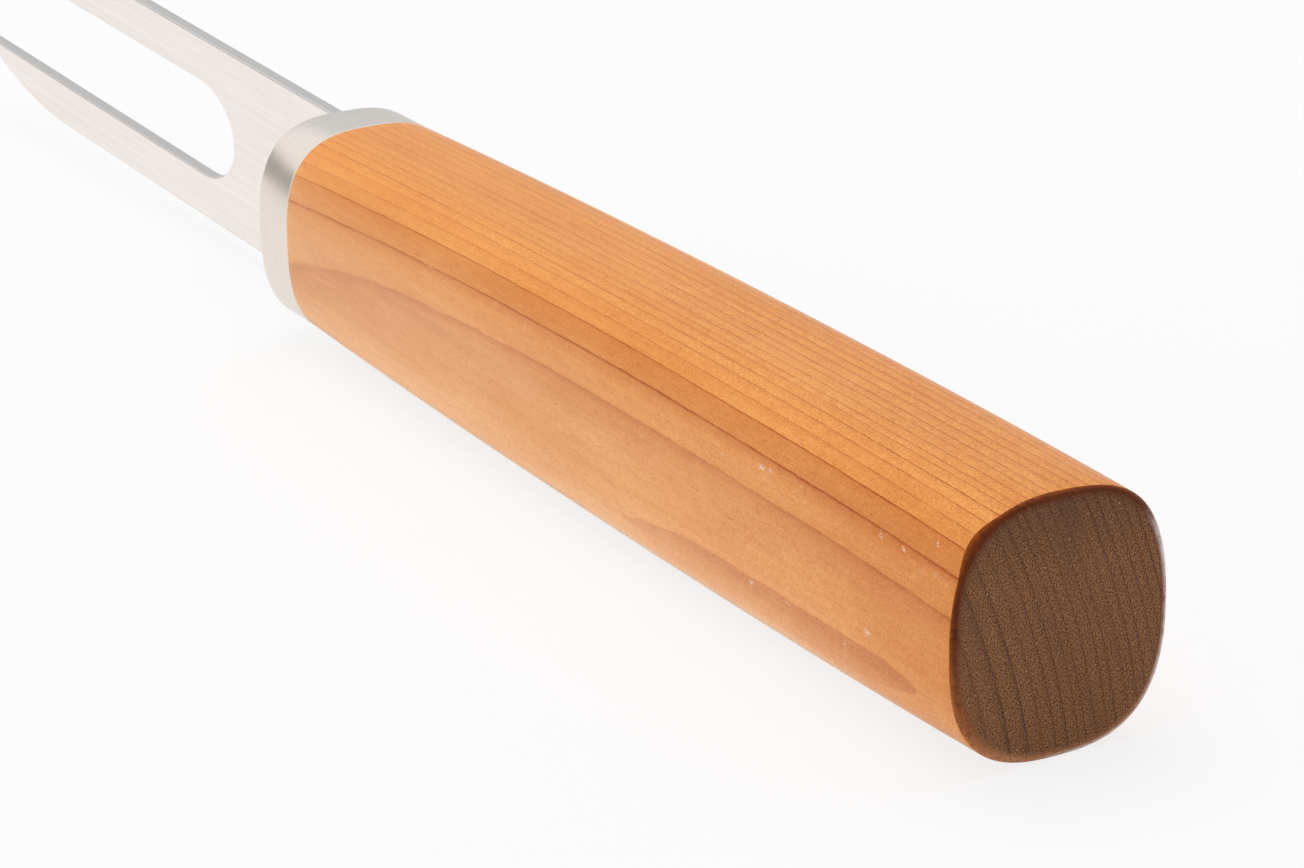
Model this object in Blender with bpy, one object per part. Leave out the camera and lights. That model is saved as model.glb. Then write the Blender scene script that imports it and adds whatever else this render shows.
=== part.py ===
"""Two-tine fish fork: a flat steel blade on a hidden tang, a steel bolster and a one-piece wooden handle.

Metres, +Z up. The handle's axis lies along X, with the tines towards -X and the butt towards +X.
The blade stands on edge, its flat faces looking along Y. The origin is at the bottom centre of the fork.
"""

import math

import bmesh
import bpy

# Handle: a rounded-square section that swells from the bolster to the butt
HANDLE_LENGTH = 0.1266
BUTT_HEIGHT = 0.0240
BUTT_WIDTH = 0.0219
BUTT_POWER = 2.75
BUTT_CHAMFER = 0.0008
FRONT_HEIGHT = 0.0226
FRONT_WIDTH = 0.0203
FRONT_POWER = 2.85
MIDDLE_SWELL = 0.0002
MIDDLE_POWER_GAIN = 0.8

# Bolster: a steel block that carries on the outline of the handle's front end
BOLSTER_LENGTH = 0.0072
BOLSTER_EDGE_RADIUS = 0.0010

# Blade: a flat plate with two tines, set at a slight angle to the handle's axis
BLADE_SET_ANGLE = math.radians(1.1)
BLADE_LENGTH = 0.0965
BLADE_HEIGHT = 0.0214
BLADE_THICKNESS = 0.0015
BLADE_EDGE_CHAMFER = 0.00015
TINE_LENGTH = 0.0711
TINE_GAP = 0.0110
GAP_ROOT_DEPTH = 0.0085
TIP_SWEEP_RADIUS = 0.065
TIP_RADIUS = 0.0004

# Tang: the narrow tail of the blade, thinner than the plate so that the shoulders run all round it
TANG_LENGTH = 0.075
TANG_HEIGHT = 0.0070
TANG_THICKNESS = 0.0012
TANG_ROOT = 0.006

# Glue line round the tang, and the clearance kept between touching pieces
ADHESIVE_WALL = 0.0010
ADHESIVE_PLUG = 0.004
FIT_GAP = 0.0003

# Facets
SECTION_SIDES = 40
HANDLE_STATIONS = 14
BORE_SIDES = 32
SWEEP_STEPS = 10
TIP_STEPS = 6
ROOT_STEPS = 12
EDGE_STEPS = 4
SMOOTH_ANGLE = math.radians(30)

# Places that follow from the sizes above, counted from the joint between handle and bolster
AXIS_HEIGHT = max(BUTT_HEIGHT, FRONT_HEIGHT, BLADE_HEIGHT) / 2
BOLSTER_FACE = FIT_GAP + BOLSTER_LENGTH
SHOULDER = BOLSTER_FACE + FIT_GAP
TIP_REACH = SHOULDER + BLADE_LENGTH
LOWEST_TIP = TINE_GAP / 2 + TIP_RADIUS
FRONT_END = TIP_REACH * math.cos(BLADE_SET_ANGLE) + LOWEST_TIP * math.sin(BLADE_SET_ANGLE)
JOINT_X = (FRONT_END - HANDLE_LENGTH) / 2
TANG_SLOT_HEIGHT = TANG_HEIGHT + 2 * FIT_GAP
TANG_SLOT_THICKNESS = TANG_THICKNESS + 2 * FIT_GAP
ADHESIVE_RADIUS = math.hypot(TANG_SLOT_HEIGHT, TANG_SLOT_THICKNESS) / 2 + ADHESIVE_WALL
BORE_RADIUS = ADHESIVE_RADIUS + FIT_GAP
ADHESIVE_START = ADHESIVE_RADIUS * math.sin(BLADE_SET_ANGLE)
ADHESIVE_DEPTH = TANG_LENGTH + FIT_GAP + ADHESIVE_PLUG
BORE_DEPTH = ADHESIVE_DEPTH + FIT_GAP


def clear_scene():
    for item in list(bpy.data.objects):
        bpy.data.objects.remove(item, do_unlink=True)


def make_material(name, colour, roughness, metallic):
    material = bpy.data.materials.new(name)
    material.use_nodes = True
    shader = material.node_tree.nodes["Principled BSDF"]
    shader.inputs["Base Color"].default_value = (*colour, 1.0)
    shader.inputs["Roughness"].default_value = roughness
    shader.inputs["Metallic"].default_value = metallic
    return material


def make_empty(name, location, parent=None):
    empty = bpy.data.objects.new(name, None)
    empty.location = location
    empty.parent = parent
    bpy.context.collection.objects.link(empty)
    return empty


def solid_from_rings(name, rings, parent):
    """A closed solid from rings of points, bridged one after the other and capped at both ends."""
    mesh = bpy.data.meshes.new(name)
    bm = bmesh.new()
    loops = [[bm.verts.new(point) for point in ring] for ring in rings]
    for near, far in zip(loops, loops[1:]):
        for i in range(len(near)):
            j = (i + 1) % len(near)
            bm.faces.new((near[i], near[j], far[j], far[i]))
    bm.faces.new(loops[0])
    bm.faces.new(loops[-1])
    bmesh.ops.recalc_face_normals(bm, faces=bm.faces)
    bm.to_mesh(mesh)
    bm.free()
    mesh.shade_smooth()
    mesh.set_sharp_from_angle(angle=SMOOTH_ANGLE)
    solid = bpy.data.objects.new(name, mesh)
    solid.parent = parent
    bpy.context.collection.objects.link(solid)
    return solid


def box_rings(start, end, thickness, height):
    """Two rectangles across X, for a straight bar from start to end."""
    corners = ((-1, -1), (1, -1), (1, 1), (-1, 1))
    return [[(x, thickness / 2 * y, height / 2 * z) for y, z in corners] for x in (start, end)]


def circle_rings(start, end, radius):
    """Two circles across X, for a round bar from start to end."""
    turns = [2 * math.pi * i / BORE_SIDES for i in range(BORE_SIDES)]
    return [[(x, radius * math.cos(t), radius * math.sin(t)) for t in turns] for x in (start, end)]


def section_ring(x, width, height, power):
    """A rounded-square outline across X: a superellipse, with a flat facet at its lowest side."""
    ring = []
    for i in range(SECTION_SIDES):
        turn = 2 * math.pi * (i + 0.5) / SECTION_SIDES
        side = math.cos(turn)
        rise = math.sin(turn)
        reach = (abs(2 * side / width) ** power + abs(2 * rise / height) ** power) ** (-1 / power)
        ring.append((x, reach * side, reach * rise))
    return ring


def handle_section(share):
    """Width, height and corner power of the handle, from its front end (0) to its butt (1)."""
    bulge = 4 * share * (1 - share)
    width = FRONT_WIDTH + (BUTT_WIDTH - FRONT_WIDTH) * share + MIDDLE_SWELL * bulge
    height = FRONT_HEIGHT + (BUTT_HEIGHT - FRONT_HEIGHT) * share + MIDDLE_SWELL * bulge
    power = FRONT_POWER + (BUTT_POWER - FRONT_POWER) * share + MIDDLE_POWER_GAIN * bulge
    return width, height, power


def use_cutter(target, cutter, operation):
    """A Boolean on target, with the other solid kept as a guide only."""
    cutter.hide_render = True
    cutter.display_type = "WIRE"
    boolean = target.modifiers.new(cutter.name, "BOOLEAN")
    boolean.operation = operation
    boolean.object = cutter
    boolean.solver = "EXACT"


def make_handle(handle_line, blade_line):
    body_length = HANDLE_LENGTH - BUTT_CHAMFER
    rings = []
    for i in range(HANDLE_STATIONS + 1):
        x = body_length * i / HANDLE_STATIONS
        rings.append(section_ring(x, *handle_section(x / HANDLE_LENGTH)))
    width, height, power = handle_section(body_length / HANDLE_LENGTH)
    rings.append(section_ring(HANDLE_LENGTH, width - 2 * BUTT_CHAMFER, height - 2 * BUTT_CHAMFER, power))
    handle = solid_from_rings("handle", rings, handle_line)
    bore = solid_from_rings("tang_bore", circle_rings(-BOLSTER_LENGTH, BORE_DEPTH, BORE_RADIUS), blade_line)
    use_cutter(handle, bore, "DIFFERENCE")
    handle.data.materials.append(make_material("oiled_wood", (0.66, 0.31, 0.10), 0.45, 0.0))


def make_bolster(handle_line, blade_line):
    width, height, power = handle_section(0)
    rings = [section_ring(-FIT_GAP, width, height, power)]
    for i in range(EDGE_STEPS + 1):
        turn = math.pi / 2 * i / EDGE_STEPS
        x = BOLSTER_EDGE_RADIUS * (1 - math.sin(turn)) - BOLSTER_FACE
        inset = BOLSTER_EDGE_RADIUS * (1 - math.cos(turn))
        rings.append(section_ring(x, width - 2 * inset, height - 2 * inset, power))
    bolster = solid_from_rings("bolster", rings, handle_line)
    slot_ends = (-2 * BOLSTER_LENGTH, BOLSTER_LENGTH)
    slot = solid_from_rings(
        "tang_slot", box_rings(*slot_ends, TANG_SLOT_THICKNESS, TANG_SLOT_HEIGHT), blade_line
    )
    use_cutter(bolster, slot, "DIFFERENCE")
    bolster.data.materials.append(make_material("satin_bolster_steel", (0.56, 0.55, 0.54), 0.32, 1.0))


def arc(centre, radius, start, end, steps):
    """Points of a circular arc in the plane of the blade, both ends included."""
    turns = [start + (end - start) * i / steps for i in range(steps + 1)]
    return [(centre[0] + radius * math.cos(t), centre[1] + radius * math.sin(t)) for t in turns]


def shoulder_reach(rise):
    """How far out the shoulder lies at a height on the blade, to stay parallel to the bolster's face."""
    return (SHOULDER + rise * math.sin(BLADE_SET_ANGLE)) / math.cos(BLADE_SET_ANGLE)


def blade_outline(inset):
    """The plate's outline as (reach, rise), drawn in by inset everywhere but at the shoulders."""
    half = BLADE_HEIGHT / 2
    gap = TINE_GAP / 2
    tine = half - gap
    swing = math.sqrt((TIP_SWEEP_RADIUS - TIP_RADIUS) ** 2 - (TIP_SWEEP_RADIUS - tine + TIP_RADIUS) ** 2)
    tip = (TIP_REACH - TIP_RADIUS, -gap - TIP_RADIUS)
    sweep = (tip[0] - swing, TIP_SWEEP_RADIUS - half)
    meet = math.atan2(tip[1] - sweep[1], tip[0] - sweep[0])
    root = TIP_REACH - TINE_LENGTH + GAP_ROOT_DEPTH

    lower = [(shoulder_reach(inset - half), inset - half)]
    lower += arc(sweep, TIP_SWEEP_RADIUS - inset, -math.pi / 2, meet, SWEEP_STEPS)[:-1]
    lower += arc(tip, TIP_RADIUS - inset, meet, math.pi / 2, TIP_STEPS)
    for i in range(ROOT_STEPS):
        turn = math.pi / 2 * i / ROOT_STEPS
        lower.append(
            (root - (GAP_ROOT_DEPTH + inset) * math.sin(turn), -(gap + inset) * math.cos(turn))
        )
    upper = [(reach, -rise) for reach, rise in reversed(lower[1:])]
    upper.append((shoulder_reach(half - inset), half - inset))
    return lower + [(root - GAP_ROOT_DEPTH - inset, 0.0)] + upper


def make_blade(blade_line):
    side = BLADE_THICKNESS / 2
    layers = (
        (-side, BLADE_EDGE_CHAMFER),
        (BLADE_EDGE_CHAMFER - side, 0.0),
        (side - BLADE_EDGE_CHAMFER, 0.0),
        (side, BLADE_EDGE_CHAMFER),
    )
    rings = [[(-reach, y, rise) for reach, rise in blade_outline(inset)] for y, inset in layers]
    blade = solid_from_rings("fork_blade", rings, blade_line)
    tang_ends = (-SHOULDER - TANG_ROOT, TANG_LENGTH)
    tang = solid_from_rings("tang", box_rings(*tang_ends, TANG_THICKNESS, TANG_HEIGHT), blade_line)
    use_cutter(blade, tang, "UNION")
    blade.data.materials.append(make_material("satin_blade_steel", (0.78, 0.75, 0.72), 0.30, 1.0))


def make_adhesive(blade_line):
    plug_rings = circle_rings(ADHESIVE_START, ADHESIVE_DEPTH, ADHESIVE_RADIUS)
    adhesive = solid_from_rings("tang_adhesive", plug_rings, blade_line)
    pocket_ends = (-BOLSTER_LENGTH, TANG_LENGTH + FIT_GAP)
    pocket = solid_from_rings(
        "tang_pocket", box_rings(*pocket_ends, TANG_SLOT_THICKNESS, TANG_SLOT_HEIGHT), blade_line
    )
    use_cutter(adhesive, pocket, "DIFFERENCE")
    adhesive.data.materials.append(make_material("cured_epoxy", (0.62, 0.50, 0.28), 0.40, 0.0))


clear_scene()
handle_axis = make_empty("handle_axis", (JOINT_X, 0.0, AXIS_HEIGHT))
blade_axis = make_empty("blade_axis", (0.0, 0.0, 0.0), handle_axis)
blade_axis.rotation_euler = (0.0, BLADE_SET_ANGLE, 0.0)
make_handle(handle_axis, blade_axis)
make_bolster(handle_axis, blade_axis)
make_blade(blade_axis)
make_adhesive(blade_axis)
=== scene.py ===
import math

import bmesh
import bpy
from mathutils import Matrix, Vector


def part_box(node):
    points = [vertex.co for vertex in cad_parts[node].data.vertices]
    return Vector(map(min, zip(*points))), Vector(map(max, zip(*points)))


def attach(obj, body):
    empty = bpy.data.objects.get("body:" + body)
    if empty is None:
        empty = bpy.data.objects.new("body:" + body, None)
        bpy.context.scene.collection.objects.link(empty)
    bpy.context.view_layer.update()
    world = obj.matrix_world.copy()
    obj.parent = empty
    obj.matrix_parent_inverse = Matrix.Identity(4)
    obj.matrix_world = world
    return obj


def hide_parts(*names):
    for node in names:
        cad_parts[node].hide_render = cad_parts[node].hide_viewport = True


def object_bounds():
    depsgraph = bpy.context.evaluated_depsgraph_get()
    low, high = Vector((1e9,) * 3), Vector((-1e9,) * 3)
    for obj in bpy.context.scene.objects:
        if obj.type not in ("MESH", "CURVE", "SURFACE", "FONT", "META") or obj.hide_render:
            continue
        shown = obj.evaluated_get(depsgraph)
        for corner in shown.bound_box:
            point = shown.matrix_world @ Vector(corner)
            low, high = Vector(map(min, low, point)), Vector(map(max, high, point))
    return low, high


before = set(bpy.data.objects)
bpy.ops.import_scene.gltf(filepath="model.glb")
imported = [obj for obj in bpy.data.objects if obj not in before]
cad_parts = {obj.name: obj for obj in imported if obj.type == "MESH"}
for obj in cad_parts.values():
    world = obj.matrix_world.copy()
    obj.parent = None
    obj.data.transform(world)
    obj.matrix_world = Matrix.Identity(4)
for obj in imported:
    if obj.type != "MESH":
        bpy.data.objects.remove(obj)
cad_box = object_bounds()


# Fork blade: one plate of satin stainless steel, cut into two long tines with swept tips.
# Its faces are ground lengthwise, its edges are broken all round, and a thinner tang behind
# the square shoulders passes through the bolster and is glued into the handle.
blade_low, blade_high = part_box("fork_blade")
bolster_low, bolster_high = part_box("bolster")
handle_low, handle_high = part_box("handle")
joint_x = handle_low.x
axis_z = (handle_low.z + handle_high.z) / 2

SET_ANGLE = math.radians(1.1)
PLATE_HEIGHT = 0.0214
TINE_GAP = 0.0110
TINE_LENGTH = 0.0711
GAP_ROOT_DEPTH = 0.0085
TIP_SWEEP_RADIUS = 0.065
TIP_RADIUS = 0.0004
TANG_HEIGHT = 0.0070
TANG_THICKNESS = 0.0012
TANG_ROOT = 0.006
EDGE_ROUND = 0.00022
FLAT_MARGIN = 0.0001
SEAM = 0.00003
EDGE_STEPS = 5
SWEEP_STEPS = 40
TIP_STEPS = 10
ROOT_STEPS = 40
SMOOTH_ANGLE = math.radians(35)
SQUARE = ((-1, -1), (1, -1), (1, 1), (-1, 1))

plate_side = (blade_high.y - blade_low.y) / 2
lowest_tip = TINE_GAP / 2 + TIP_RADIUS
tip_reach = (joint_x - blade_low.x - lowest_tip * math.sin(SET_ANGLE)) / math.cos(SET_ANGLE)
tang_end = (blade_high.x - joint_x - TANG_HEIGHT / 2 * math.sin(SET_ANGLE)) / math.cos(SET_ANGLE)
shoulder = joint_x - bolster_low.x + SEAM
blade_line = Matrix.Translation((joint_x, 0.0, axis_z)) @ Matrix.Rotation(SET_ANGLE, 4, "Y")


def solid_from_rings(name, rings, closed=False):
    """One solid from rings of points bridged in order, capped at both ends or closed end to end."""
    mesh = bpy.data.meshes.new(name)
    bm = bmesh.new()
    loops = [[bm.verts.new(point) for point in ring] for ring in rings]
    pairs = list(zip(loops, loops[1:]))
    if closed:
        pairs.append((loops[-1], loops[0]))
    else:
        bm.faces.new(loops[0])
        bm.faces.new(loops[-1])
    for near, far in pairs:
        for i in range(len(near)):
            j = (i + 1) % len(near)
            bm.faces.new((near[i], near[j], far[j], far[i]))
    bmesh.ops.recalc_face_normals(bm, faces=bm.faces)
    bm.to_mesh(mesh)
    bm.free()
    mesh.shade_smooth()
    mesh.set_sharp_from_angle(angle=SMOOTH_ANGLE)
    solid = bpy.data.objects.new(name, mesh)
    bpy.context.collection.objects.link(solid)
    return solid


def join_solid(solid, other):
    """Fuses another solid into this one and removes the other."""
    union = solid.modifiers.new("union", "BOOLEAN")
    union.operation = "UNION"
    union.object = other
    fused = bpy.data.meshes.new_from_object(solid.evaluated_get(bpy.context.evaluated_depsgraph_get()))
    solid.modifiers.remove(union)
    solid.data = fused
    bpy.data.objects.remove(other)


def quarter_turns(steps):
    """Angles from 0 to a quarter turn, both ends included."""
    return [math.pi / 2 * i / steps for i in range(steps + 1)]


def arc(centre, radius, start, end, steps):
    """Points of a circular arc in the plane of the blade, both ends included."""
    turns = [start + (end - start) * i / steps for i in range(steps + 1)]
    return [(centre[0] + radius * math.cos(t), centre[1] + radius * math.sin(t)) for t in turns]


def shoulder_reach(rise):
    """How far out the shoulder lies at a height on the blade, to stay parallel to the bolster's face."""
    return (shoulder + rise * math.sin(SET_ANGLE)) / math.cos(SET_ANGLE)


def blade_outline(inset):
    """The plate's outline as (reach, rise), drawn in by inset everywhere but at the shoulders."""
    half = PLATE_HEIGHT / 2
    gap = TINE_GAP / 2
    tine = half - gap
    swing = math.sqrt((TIP_SWEEP_RADIUS - TIP_RADIUS) ** 2 - (TIP_SWEEP_RADIUS - tine + TIP_RADIUS) ** 2)
    tip = (tip_reach - TIP_RADIUS, -gap - TIP_RADIUS)
    sweep = (tip[0] - swing, TIP_SWEEP_RADIUS - half)
    meet = math.atan2(tip[1] - sweep[1], tip[0] - sweep[0])
    root = tip_reach - TINE_LENGTH + GAP_ROOT_DEPTH
    lower = [(shoulder_reach(inset - half), inset - half)]
    lower += arc(sweep, TIP_SWEEP_RADIUS - inset, -math.pi / 2, meet, SWEEP_STEPS)[:-1]
    lower += arc(tip, TIP_RADIUS - inset, meet, math.pi / 2, TIP_STEPS)
    for turn in quarter_turns(ROOT_STEPS)[:-1]:
        reach = root - (GAP_ROOT_DEPTH + inset) * math.sin(turn)
        lower.append((reach, -(gap + inset) * math.cos(turn)))
    upper = [(reach, -rise) for reach, rise in reversed(lower[1:])]
    upper.append((shoulder_reach(half - inset), half - inset))
    return lower + [(root - GAP_ROOT_DEPTH - inset, 0.0)] + upper


def make_blade():
    layers = [(-plate_side, EDGE_ROUND + FLAT_MARGIN)]
    for turn in quarter_turns(EDGE_STEPS):
        layers.append((EDGE_ROUND * (1 - math.cos(turn)) - plate_side, EDGE_ROUND * (1 - math.sin(turn))))
    layers += [(-y, inset) for y, inset in reversed(layers)]
    rings = [[blade_line @ Vector((-u, y, v)) for u, v in blade_outline(inset)] for y, inset in layers]
    plate = solid_from_rings("blade_and_tang", rings)
    tang_rings = []
    for x in (-shoulder - TANG_ROOT, tang_end):
        ring = [(x, TANG_THICKNESS / 2 * y, TANG_HEIGHT / 2 * z) for y, z in SQUARE]
        tang_rings.append([blade_line @ Vector(point) for point in ring])
    join_solid(plate, solid_from_rings("tang", tang_rings))
    return plate


def feed(tree, socket, value):
    """Links a socket to another node's output, or sets its own value."""
    if isinstance(value, bpy.types.NodeSocket):
        tree.links.new(value, socket)
    else:
        socket.default_value = value


def place(tree, kind, inputs=None, **settings):
    """A new node with its settings, and its inputs by name."""
    node = tree.nodes.new(kind)
    for name, value in settings.items():
        setattr(node, name, value)
    for name, value in (inputs or {}).items():
        feed(tree, node.inputs[name], value)
    return node


def calc(tree, operation, *values):
    """The result of a Math node."""
    node = place(tree, "ShaderNodeMath", operation=operation)
    for socket, value in zip(node.inputs, values):
        feed(tree, socket, value)
    return node.outputs[0]


def rescale(tree, value, low, high, new_low=0.0, new_high=1.0):
    """A value taken from one range to another and held inside it. The spans further down list these
    ends in this order, and those of two numbers lead to 0 and 1."""
    ends = {"Value": value, "From Min": low, "From Max": high, "To Min": new_low, "To Max": new_high}
    return place(tree, "ShaderNodeMapRange", ends).outputs[0]


def combine(tree, operation, *vectors):
    """A Vector Math node on the given vectors."""
    return place(tree, "ShaderNodeVectorMath", dict(enumerate(vectors)), operation=operation)


def stretched_noise(tree, coordinates, stretch, detail=3.0, roughness=0.5):
    """Noise whose frequency differs along X, Y and Z, in features per unit of the coordinates."""
    scaled = combine(tree, "MULTIPLY", coordinates, stretch)
    settings = {"Vector": scaled.outputs[0], "Scale": 1.0, "Detail": detail, "Roughness": roughness}
    return place(tree, "ShaderNodeTexNoise", settings).outputs["Fac"]


# The numbers of a Mix node's colour sockets, whose names also stand for its other kinds of value.
MIX_SHARE = 0
MIX_FIRST = 6
MIX_SECOND = 7
MIX_RESULT = 2


def mix_colours(tree, share, first, second, blend="MIX"):
    """One colour laid over another by a share."""
    node = place(tree, "ShaderNodeMix", data_type="RGBA", blend_type=blend)
    feed(tree, node.inputs[MIX_SHARE], share)
    feed(tree, node.inputs[MIX_FIRST], first)
    feed(tree, node.inputs[MIX_SECOND], second)
    return node.outputs[MIX_RESULT]


def colour(tone):
    """A tone of red, green and blue as a screen shows it, 0 to 255, as the linear colour of a shader."""
    parts = [part / 255 for part in tone]
    return (*[p / 12.92 if p <= 0.04045 else ((p + 0.055) / 1.055) ** 2.4 for p in parts], 1.0)


MM_PER_METRE = 1000


def new_material(name):
    """A material with its tree, its Principled BSDF and its coordinates in millimetres."""
    material = bpy.data.materials.new(name)
    material.use_nodes = True
    tree = material.node_tree
    shader = tree.nodes["Principled BSDF"]
    where = place(tree, "ShaderNodeTexCoord")
    millimetres = place(tree, "ShaderNodeMapping", {"Vector": where.outputs["Object"]})
    millimetres.inputs["Scale"].default_value = [MM_PER_METRE] * 3
    return material, tree, shader, millimetres


BROAD_LINES = (0.5, 0.22, 0.22)
LINES_SPAN = (0.6, 1.4)
SMUDGE_GRAIN = (0.10, 0.16, 0.16)
SMUDGE_HEIGHT = 0.3


def make_satin_grind():
    """Node group of ground steel: fine and broader lines along one way, with soft smudges over them."""
    group = bpy.data.node_groups.new("satin_grind", "ShaderNodeTree")
    group.interface.new_socket("Millimetres", in_out="INPUT", socket_type="NodeSocketVector")
    group.interface.new_socket("Lines Per Millimetre", in_out="INPUT", socket_type="NodeSocketVector")
    for name in ("Lines", "Smudges", "Height"):
        group.interface.new_socket(name, in_out="OUTPUT", socket_type="NodeSocketFloat")
    given = group.nodes.new("NodeGroupInput")
    result = group.nodes.new("NodeGroupOutput")
    fine = stretched_noise(group, given.outputs[0], given.outputs[1], detail=4.0, roughness=0.6)
    sparser = combine(group, "MULTIPLY", given.outputs[1], BROAD_LINES).outputs[0]
    broad = stretched_noise(group, given.outputs[0], sparser, detail=2.0, roughness=0.6)
    lines = rescale(group, calc(group, "ADD", fine, broad), *LINES_SPAN)
    smudges = stretched_noise(group, given.outputs[0], SMUDGE_GRAIN, detail=3.0, roughness=0.55)
    height = calc(group, "MULTIPLY_ADD", smudges, SMUDGE_HEIGHT, lines)
    for socket, value in zip(result.inputs, (lines, smudges, height)):
        group.links.new(value, socket)
    return group


satin_grind = make_satin_grind()


def grind(tree, millimetres, lines_per_millimetre):
    """The satin grind group placed in a material, with its lines run in the given direction."""
    ground = place(tree, "ShaderNodeGroup", node_tree=satin_grind)
    feed(tree, ground.inputs["Millimetres"], millimetres.outputs[0])
    feed(tree, ground.inputs["Lines Per Millimetre"], lines_per_millimetre)
    return ground


SATIN_STEEL = (0.25, 0.75, 0.26, 0.32)
GRIND_STRENGTH = 0.10
GRIND_DEPTH = 0.00001


def bare_metal(tree, shader, ground, smudge_roughness):
    """Makes a shader metal with a fine relief, and returns the roughness of its lines and smudges."""
    shader.inputs["Metallic"].default_value = 1.0
    relief = {"Height": ground.outputs["Height"], "Strength": GRIND_STRENGTH, "Distance": GRIND_DEPTH}
    feed(tree, shader.inputs["Normal"], place(tree, "ShaderNodeBump", relief).outputs[0])
    satin = rescale(tree, ground.outputs["Lines"], *SATIN_STEEL)
    return calc(tree, "MULTIPLY_ADD", ground.outputs["Smudges"], smudge_roughness, satin)


BLADE_LINES = (0.05, 7.0, 7.0)
BLADE_DARK = (237, 229, 223)
BLADE_LIGHT = (253, 246, 241)
BLADE_SMUDGES = 0.10
CUT_EDGE_TONE = (196, 195, 192)
CUT_EDGE_SHARE = 0.6
CUT_EDGE_ROUGHNESS = 0.08


def satin_blade_steel():
    material, tree, shader, millimetres = new_material("satin_blade_steel")
    millimetres.inputs["Rotation"].default_value = (0.0, -SET_ANGLE, 0.0)
    ground = grind(tree, millimetres, BLADE_LINES)
    across = place(tree, "ShaderNodeSeparateXYZ", {"Vector": millimetres.outputs[0]}).outputs["Y"]
    face = plate_side * MM_PER_METRE
    bend = face - EDGE_ROUND * MM_PER_METRE / 2
    cut_edge = rescale(tree, calc(tree, "ABSOLUTE", across), face, bend)
    tone = mix_colours(tree, ground.outputs["Lines"], colour(BLADE_DARK), colour(BLADE_LIGHT))
    share = calc(tree, "MULTIPLY", cut_edge, CUT_EDGE_SHARE)
    feed(tree, shader.inputs["Base Color"], mix_colours(tree, share, tone, colour(CUT_EDGE_TONE)))
    satin = bare_metal(tree, shader, ground, BLADE_SMUDGES)
    satin = calc(tree, "MULTIPLY_ADD", cut_edge, CUT_EDGE_ROUGHNESS, satin)
    feed(tree, shader.inputs["Roughness"], satin)
    return material


blade = make_blade()
blade.data.materials.clear()
blade.data.materials.append(satin_blade_steel())
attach(blade, "root")
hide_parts("fork_blade")


# Bolster: a short block of stainless steel with the outline of the handle's front end.
# It is slotted for the tang, slid up to the blade's shoulders, and its front edge is rounded over
# and polished, so that it carries the handle's lines on to the blade.
SECTION_SIDES = 192
FRONT_POWER = 2.85
BOLSTER_ROUND = 0.0010
BOLSTER_ROUND_STEPS = 12
SEAM_ROUND = 0.00010
SEAM_ROUND_STEPS = 3
SLOT_PLAY = 0.00004
SLOT_POWER = 12.0
BOLSTER_LINES = (5.0, 0.12, 0.12)
BOLSTER_DARK = (230, 220, 210)
BOLSTER_LIGHT = (242, 233, 224)
BOLSTER_SMUDGES = 0.08

front_width = bolster_high.y - bolster_low.y
front_height = bolster_high.z - bolster_low.z
section_turns = [2 * math.pi * (i + 0.5) / SECTION_SIDES for i in range(SECTION_SIDES)]


def section_point(x, turn, width, height, power):
    """A point of a rounded-square outline across X, a superellipse round the handle's axis."""
    side = math.cos(turn)
    rise = math.sin(turn)
    reach = (abs(2 * side / width) ** power + abs(2 * rise / height) ** power) ** (-1 / power)
    return x, reach * side, axis_z + reach * rise


def section_ring(x, width, height, power):
    """The whole outline at one place along X."""
    return [section_point(x, turn, width, height, power) for turn in section_turns]


def on_blade_line(x, ring):
    """A ring of (y, rise) about the blade's line, cut square to the handle's axis at x."""
    points = []
    for y, rise in ring:
        along = (x - joint_x - rise * math.sin(SET_ANGLE)) / math.cos(SET_ANGLE)
        points.append(blade_line @ Vector((along, y, rise)))
    return points


def edge_round(x, width, height, power, radius, steps, facing):
    """Rings that round an edge over, from the side of the section to its end face at x."""
    rings = []
    for turn in quarter_turns(steps):
        inset = 2 * radius * (1 - math.cos(turn))
        place_x = x - facing * radius * (1 - math.sin(turn))
        rings.append(section_ring(place_x, width - inset, height - inset, power))
    return rings


def make_bolster():
    size = (front_width, front_height, FRONT_POWER)
    rings = list(reversed(edge_round(bolster_high.x, *size, SEAM_ROUND, SEAM_ROUND_STEPS, 1)))
    rings += edge_round(bolster_low.x, *size, BOLSTER_ROUND, BOLSTER_ROUND_STEPS, -1)
    margin = 2 * (BOLSTER_ROUND + FLAT_MARGIN)
    rings.append(section_ring(bolster_low.x, front_width - margin, front_height - margin, FRONT_POWER))
    slot_size = (TANG_THICKNESS + SLOT_PLAY, TANG_HEIGHT + SLOT_PLAY, SLOT_POWER)
    slot = [(y, z - axis_z) for _, y, z in section_ring(0.0, *slot_size)]
    rings.append(on_blade_line(bolster_low.x, slot))
    rings.append(on_blade_line(bolster_high.x, slot))
    return solid_from_rings("steel_bolster", rings, closed=True)


def satin_bolster_steel():
    material, tree, shader, millimetres = new_material("satin_bolster_steel")
    ground = grind(tree, millimetres, BOLSTER_LINES)
    tone = mix_colours(tree, ground.outputs["Lines"], colour(BOLSTER_DARK), colour(BOLSTER_LIGHT))
    feed(tree, shader.inputs["Base Color"], tone)
    feed(tree, shader.inputs["Roughness"], bare_metal(tree, shader, ground, BOLSTER_SMUDGES))
    return material


bolster = make_bolster()
bolster.data.materials.append(satin_bolster_steel())
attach(bolster, "root")
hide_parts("bolster")


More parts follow.
